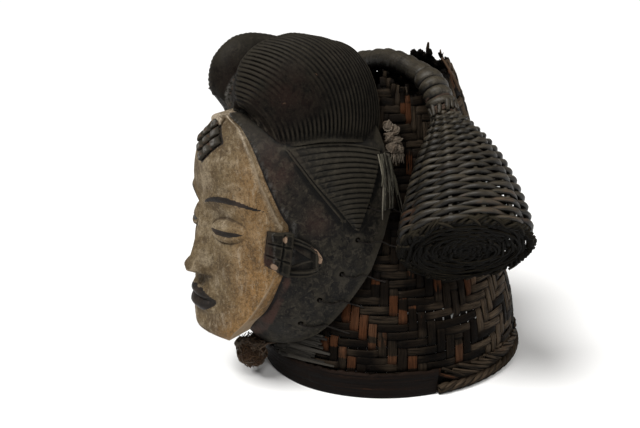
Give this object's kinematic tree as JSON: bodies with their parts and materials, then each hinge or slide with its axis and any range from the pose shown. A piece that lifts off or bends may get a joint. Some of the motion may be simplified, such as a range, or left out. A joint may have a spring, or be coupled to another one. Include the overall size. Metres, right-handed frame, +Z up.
{
  "type": "carved mask with basketry hood and rattle",
  "caption": "Whitened wooden face mask with two-lobed coiffure, laced to a plaited bark hood, with a double wicker rattle over the top.",
  "frame": {"origin": "the middle of the object's footprint box, on the surface that it stands on", "axes": "+Z up, -Y the way the face looks, +X the mask's own left side"},
  "size_m": [0.383, 0.3591, 0.3285],
  "materials": {
    "mask_wood": "dark patinated carved wood with a worn white clay face",
    "hood_weave": "dry plaited split bark, dark brown with some orange-red strips",
    "rim_bark": "flat brown bark strip, fibrous",
    "rattle_wicker": "dark grey-brown peeled wicker, slightly polished",
    "cord": "thin twisted plant-fibre cord",
    "fibre": "dry light-brown plant fibre"
  },
  "bodies": {
    "root": {"carved_mask": "mask_wood", "plaited_hood": "hood_weave", "rim_hoop": "rim_bark", "rim_binding": "hood_weave", "rattle_arch": "rattle_wicker", "rattle_bell_left": "rattle_wicker", "rattle_bell_right": "rattle_wicker", "lacing_left_1": "cord", "lacing_left_2": "cord", "lacing_left_3": "cord", "lacing_left_4": "cord", "lacing_left_5": "cord", "lacing_right_1": "cord", "lacing_right_2": "cord", "lacing_right_3": "cord", "lacing_right_4": "cord", "lacing_right_5": "cord", "fibre_knot_left": "fibre", "fibre_knot_right": "fibre", "bark_strips_left": "rim_bark", "bark_strips_right": "rim_bark", "chin_tuft": "fibre"}
  },
  "joints": []
}
